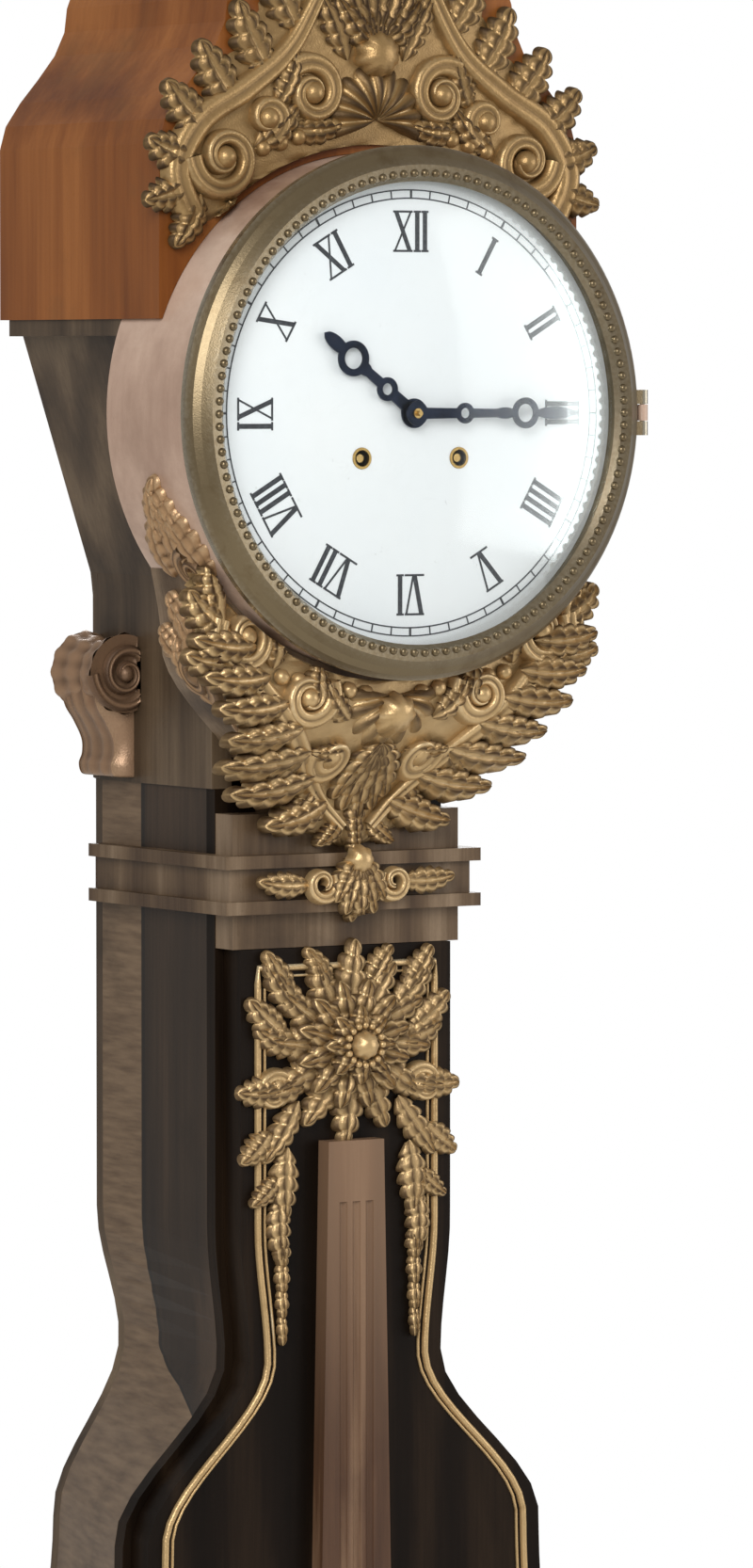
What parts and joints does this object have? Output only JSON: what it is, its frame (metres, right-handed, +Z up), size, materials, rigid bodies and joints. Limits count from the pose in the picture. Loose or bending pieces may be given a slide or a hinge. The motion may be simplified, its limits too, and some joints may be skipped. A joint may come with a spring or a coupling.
{
  "type": "pendulum longcase clock",
  "caption": "Tall waisted longcase clock with a round drum head, bell-shaped hood, gilt mounts, glazed dial, spring movement and a seconds pendulum behind a hinged door.",
  "frame": {"origin": "centre of the plinth on the floor", "axes": "+Z up, the dial faces -Y, +X to the viewer's right"},
  "size_m": [0.444, 0.29, 2.265],
  "materials": {
    "veneer": "dark walnut veneer, waxed",
    "hood_veneer": "orange brown veneer, polished",
    "ebonised": "dark stained wood, polished",
    "rosewood": "reddish brown fluted wood, polished",
    "drum_veneer": "pale pinkish brown veneer, polished",
    "ormolu": "gilt bronze, aged, matt ground with bright highlights",
    "bezel_brass": "patinated brass",
    "enamel": "white enamel",
    "numeral_black": "fired black enamel",
    "glass": "clear glass",
    "brass": "grained and lacquered brass",
    "bell_metal": "turned bell metal",
    "blued_steel": "blued steel",
    "steel": "polished steel",
    "gridiron": "steel and brass rods"
  },
  "bodies": {
    "case": {"plinth": "veneer", "base_case": "veneer", "trunk_side_left": "veneer", "trunk_side_right": "veneer", "trunk_front_frame": "veneer", "back_board": "veneer", "neck_panel": "veneer", "neck_moulding": "ormolu", "drum_corbel": "veneer", "head_case": "veneer", "hood_cap": "hood_veneer", "crest_mount": "ormolu", "finial": "ormolu", "drum_shell": "drum_veneer", "seat_board": "veneer", "apron_mount": "ormolu", "side_mounts": "ormolu", "ear_scrolls": "ormolu", "foot_mounts": "ormolu", "dial_plate": "enamel", "dial_numerals": "numeral_black", "winding_collars": "brass", "door_hinge_case": "brass", "front_plate": "brass", "back_plate": "brass", "plate_pillars": "brass", "back_cock": "brass", "bell": "bell_metal", "bell_stand": "steel"},
    "door": {"trunk_door": "ebonised", "window_glass": "glass", "window_ring": "ormolu", "pilaster": "rosewood", "rosette_mount": "ormolu", "door_mounts": "ormolu", "door_hinge_leaf": "brass", "lock_case": "brass", "key_escutcheon": "ormolu"},
    "key": {"door_key": "brass"},
    "bolt": {"lock_bolt": "steel"},
    "bezel": {"bezel_ring": "bezel_brass", "dial_glass": "glass"},
    "minute_works": {"centre_wheel": "brass", "cannon_pinion": "brass", "minute_hand": "blued_steel"},
    "hour_works": {"hour_wheel": "brass", "hour_hand": "blued_steel"},
    "minute_wheel": {"minute_wheel": "brass"},
    "third_wheel": {"third_wheel": "brass"},
    "escape_wheel": {"escape_wheel": "brass"},
    "going_barrel": {"going_barrel": "brass"},
    "strike_barrel": {"strike_barrel": "brass"},
    "pin_wheel": {"pin_wheel": "brass"},
    "fly": {"fly": "brass"},
    "hammer": {"hammer": "steel"},
    "anchor": {"anchor": "steel"},
    "pendulum": {"suspension_spring": "steel", "gridiron_rods": "gridiron"},
    "bob": {"bob": "brass"},
    "rating_nut": {"rating_nut": "brass"}
  },
  "joints": [
    {"name": "door_open", "type": "hinge", "parent": "case", "child": "door", "pos_m": [0.1705, -0.022, 0.868], "axis": [0, 0, 1], "range_deg": [0, 100]},
    {"name": "key_turn", "type": "hinge", "parent": "door", "child": "key", "pos_m": [-0.10126, -0.021, 1.01], "axis": [0, -1, 0], "range_deg": [0, 90]},
    {"name": "bolt_slide", "type": "slide", "parent": "door", "child": "bolt", "axis": [-1, 0, 0], "range_m": [0, 0.007]},
    {"name": "bezel_open", "type": "hinge", "parent": "case", "child": "bezel", "pos_m": [0.1665, -0.0989, 1.79], "axis": [0, 0, 1], "range_deg": [0, 105]},
    {"name": "minute_turn", "type": "hinge", "parent": "case", "child": "minute_works", "pos_m": [0, -0.04, 1.79], "axis": [0, -1, 0], "continuous": true},
    {"name": "hour_turn", "type": "hinge", "parent": "case", "child": "hour_works", "pos_m": [0, -0.04, 1.79], "axis": [0, -1, 0], "continuous": true},
    {"name": "minute_wheel_turn", "type": "hinge", "parent": "case", "child": "minute_wheel", "pos_m": [-0.01559, -0.04, 1.781], "axis": [0, -1, 0], "continuous": true},
    {"name": "third_wheel_turn", "type": "hinge", "parent": "case", "child": "third_wheel", "pos_m": [-0.016, -0.04, 1.81608], "axis": [0, -1, 0], "continuous": true},
    {"name": "escape_wheel_turn", "type": "hinge", "parent": "case", "child": "escape_wheel", "pos_m": [0, -0.04, 1.83555], "axis": [0, -1, 0], "continuous": true},
    {"name": "going_barrel_turn", "type": "hinge", "parent": "case", "child": "going_barrel", "pos_m": [0.03475, -0.04, 1.76285], "axis": [0, -1, 0], "continuous": true},
    {"name": "strike_barrel_turn", "type": "hinge", "parent": "case", "child": "strike_barrel", "pos_m": [-0.03475, -0.04, 1.76285], "axis": [0, -1, 0], "continuous": true},
    {"name": "pin_wheel_turn", "type": "hinge", "parent": "case", "child": "pin_wheel", "pos_m": [-0.04617, -0.04, 1.80545], "axis": [0, -1, 0], "continuous": true},
    {"name": "fly_turn", "type": "hinge", "parent": "case", "child": "fly", "pos_m": [-0.03693, -0.04, 1.83082], "axis": [0, -1, 0], "continuous": true},
    {"name": "hammer_lift", "type": "hinge", "parent": "case", "child": "hammer", "pos_m": [-0.058, -0.04, 1.852], "axis": [0, -1, 0], "range_deg": [0, 12]},
    {"name": "pendulum_swing", "type": "hinge", "parent": "case", "child": "pendulum", "pos_m": [0, 0.03, 1.862], "axis": [0, -1, 0], "range_deg": [-1.7, 1.7]},
    {"name": "anchor_rock", "type": "hinge", "parent": "case", "child": "anchor", "pos_m": [0, 0.03, 1.862], "axis": [0, -1, 0], "range_deg": [-1.7, 1.7]},
    {"name": "bob_slide", "type": "slide", "parent": "pendulum", "child": "bob", "axis": [0, 0, 1], "range_m": [-0.0021, 0.0021]},
    {"name": "nut_turn", "type": "hinge", "parent": "bob", "child": "rating_nut", "pos_m": [0, 0.03, 0.77], "axis": [0, 0, 1], "range_deg": [-1080, 1080]}
  ],
  "couplings": [
    {"joint": "hour_turn", "follows": "minute_turn", "ratio": 0.083333},
    {"joint": "minute_wheel_turn", "follows": "minute_turn", "ratio": -0.33333},
    {"joint": "third_wheel_turn", "follows": "minute_turn", "ratio": -7.5},
    {"joint": "escape_wheel_turn", "follows": "minute_turn", "ratio": 60},
    {"joint": "going_barrel_turn", "follows": "minute_turn", "ratio": -0.16667},
    {"joint": "pin_wheel_turn", "follows": "strike_barrel_turn", "ratio": -6},
    {"joint": "fly_turn", "follows": "strike_barrel_turn", "ratio": 48},
    {"joint": "anchor_rock", "follows": "pendulum_swing", "ratio": 1},
    {"joint": "key_turn", "follows": "bolt_slide", "rad_per_m": 224.39},
    {"joint": "nut_turn", "follows": "bob_slide", "rad_per_m": 8976}
  ]
}
